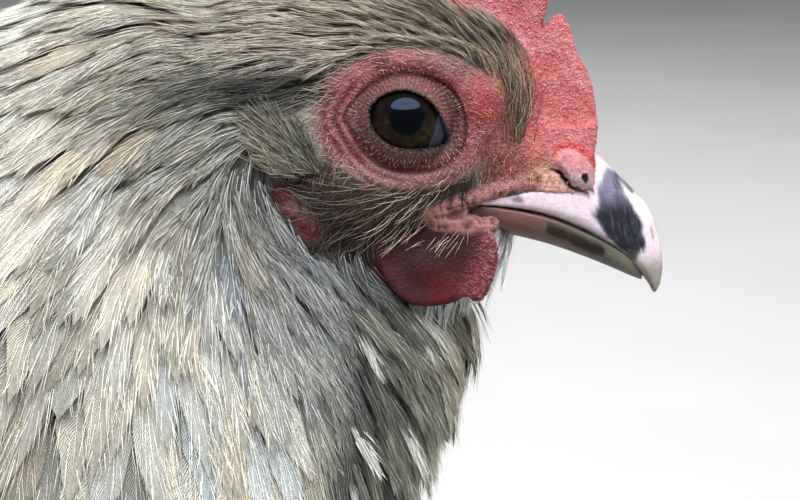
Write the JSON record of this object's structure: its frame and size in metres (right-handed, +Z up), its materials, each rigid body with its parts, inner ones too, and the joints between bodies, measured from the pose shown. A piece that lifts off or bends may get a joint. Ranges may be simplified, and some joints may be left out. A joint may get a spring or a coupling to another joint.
{
  "type": "resting hen chicken figure",
  "caption": "Life-size still figure of a hen resting on the ground, wings folded and neck drawn in, with red comb and wattles and a pale hooked bill.",
  "frame": {"origin": "on the floor, under the middle of the whole bird", "axes": "+X towards the bill, +Y towards the bird's left side, +Z up; the belly rests on z = 0"},
  "size_m": [0.3908, 0.192, 0.2347],
  "materials": {
    "body_feathers": "matt",
    "neck_feathers": "matt",
    "crown_feathers": "matt",
    "flight_feathers": "satin",
    "red_skin": "satin",
    "leg_scales": "satin",
    "horn": "semi-gloss",
    "eye": "gloss"
  },
  "bodies": {
    "root": {"head": "crown_feathers", "comb": "red_skin", "bill_upper": "horn", "bill_lower": "horn", "neck_upper": "neck_feathers", "neck_lower": "neck_feathers", "breast": "body_feathers", "belly": "body_feathers", "tail_cushion": "body_feathers", "eye_left": "eye", "wattle_left": "red_skin", "earlobe_left": "red_skin", "wing_coverts_left": "body_feathers", "wing_secondaries_left": "flight_feathers", "wing_primaries_left": "flight_feathers", "thigh_left": "body_feathers", "tail_left": "flight_feathers", "shank_left": "leg_scales", "toe_inner_left": "leg_scales", "claw_inner_left": "horn", "toe_middle_left": "leg_scales", "claw_middle_left": "horn", "toe_outer_left": "leg_scales", "claw_outer_left": "horn", "toe_hind_left": "leg_scales", "claw_hind_left": "horn", "eye_right": "eye", "wattle_right": "red_skin", "earlobe_right": "red_skin", "wing_coverts_right": "body_feathers", "wing_secondaries_right": "flight_feathers", "wing_primaries_right": "flight_feathers", "thigh_right": "body_feathers", "tail_right": "flight_feathers", "shank_right": "leg_scales", "toe_inner_right": "leg_scales", "claw_inner_right": "horn", "toe_middle_right": "leg_scales", "claw_middle_right": "horn", "toe_outer_right": "leg_scales", "claw_outer_right": "horn", "toe_hind_right": "leg_scales", "claw_hind_right": "horn"}
  },
  "joints": []
}
